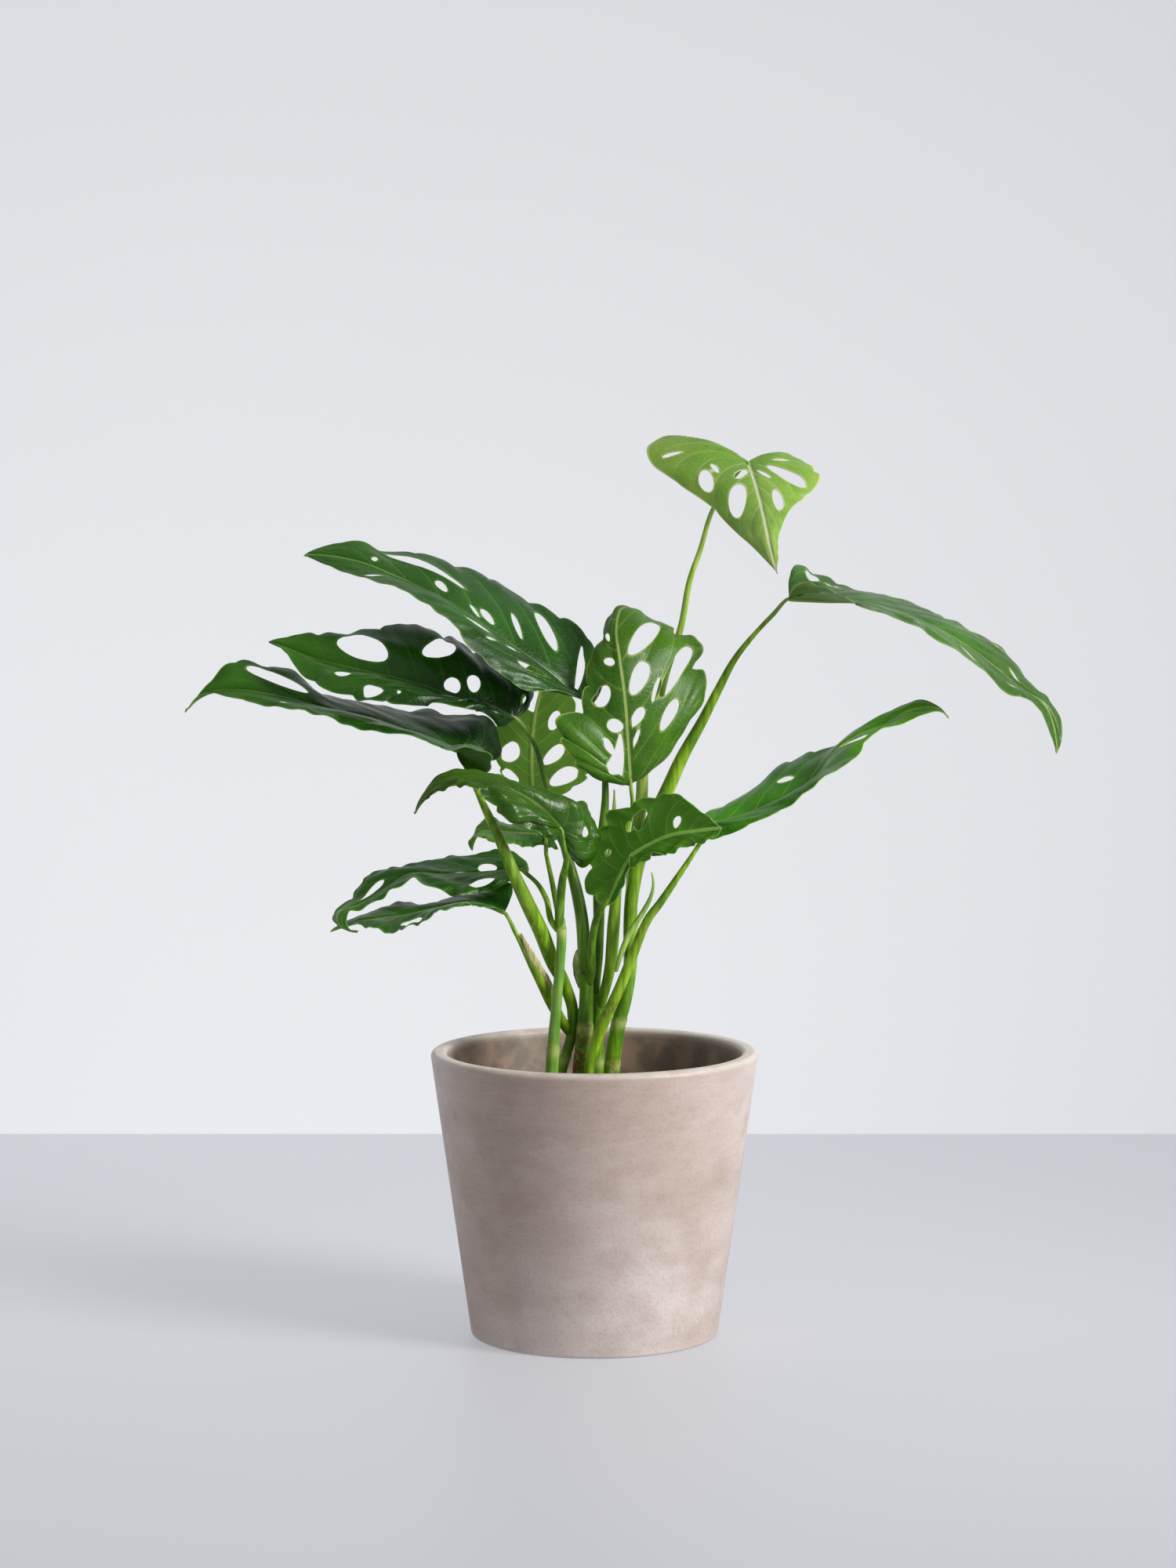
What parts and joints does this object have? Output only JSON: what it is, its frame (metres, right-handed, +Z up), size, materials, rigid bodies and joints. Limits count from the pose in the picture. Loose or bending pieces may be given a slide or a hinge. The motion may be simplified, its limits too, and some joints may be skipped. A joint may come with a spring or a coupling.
{
  "type": "potted monstera plant",
  "caption": "Foliage plant with slit, heart-shaped leaves on long arching stalks, rooted in potting soil in a plain tapered planter with a thick rounded rim",
  "frame": {"origin": "centre of the planter's flat underside", "axes": "+Z up, -Y towards the viewer of the front, +X to that viewer's right"},
  "size_m": [0.5336, 0.2, 0.5477],
  "materials": {
    "planter": "matt taupe composite with a brushed stone look",
    "soil": "damp bark and peat potting mix",
    "cane": "smooth green living stem",
    "stalk": "satin green living stalk",
    "leaf": "waxy green living leaf",
    "dry_sheath": "dry papery plant sheath"
  },
  "bodies": {
    "root": {"planter_pot": "planter", "potting_soil": "soil", "cane_front": "cane", "cane_left": "cane", "cane_centre": "cane", "cane_middle": "cane", "cane_right": "cane", "crown_stalk": "stalk", "arching_stalk": "stalk", "twisted_stalk": "stalk", "upright_stalk": "stalk", "long_stalk": "stalk", "pierced_stalk": "stalk", "trailing_stalk": "stalk", "back_stalk": "stalk", "front_stalk": "stalk", "crumpled_stalk": "stalk", "hooked_stalk": "stalk", "slender_stalk": "stalk", "small_stalk": "stalk", "crown_leaf": "leaf", "arching_leaf": "leaf", "twisted_leaf": "leaf", "upright_leaf": "leaf", "long_leaf": "leaf", "pierced_leaf": "leaf", "trailing_leaf": "leaf", "back_leaf": "leaf", "front_leaf": "leaf", "crumpled_leaf": "leaf", "hooked_leaf": "leaf", "slender_leaf": "leaf", "small_leaf": "leaf", "new_leaf_spear": "stalk", "slender_sheath": "dry_sheath", "centre_sheath": "dry_sheath", "long_sheath": "dry_sheath"}
  },
  "joints": []
}
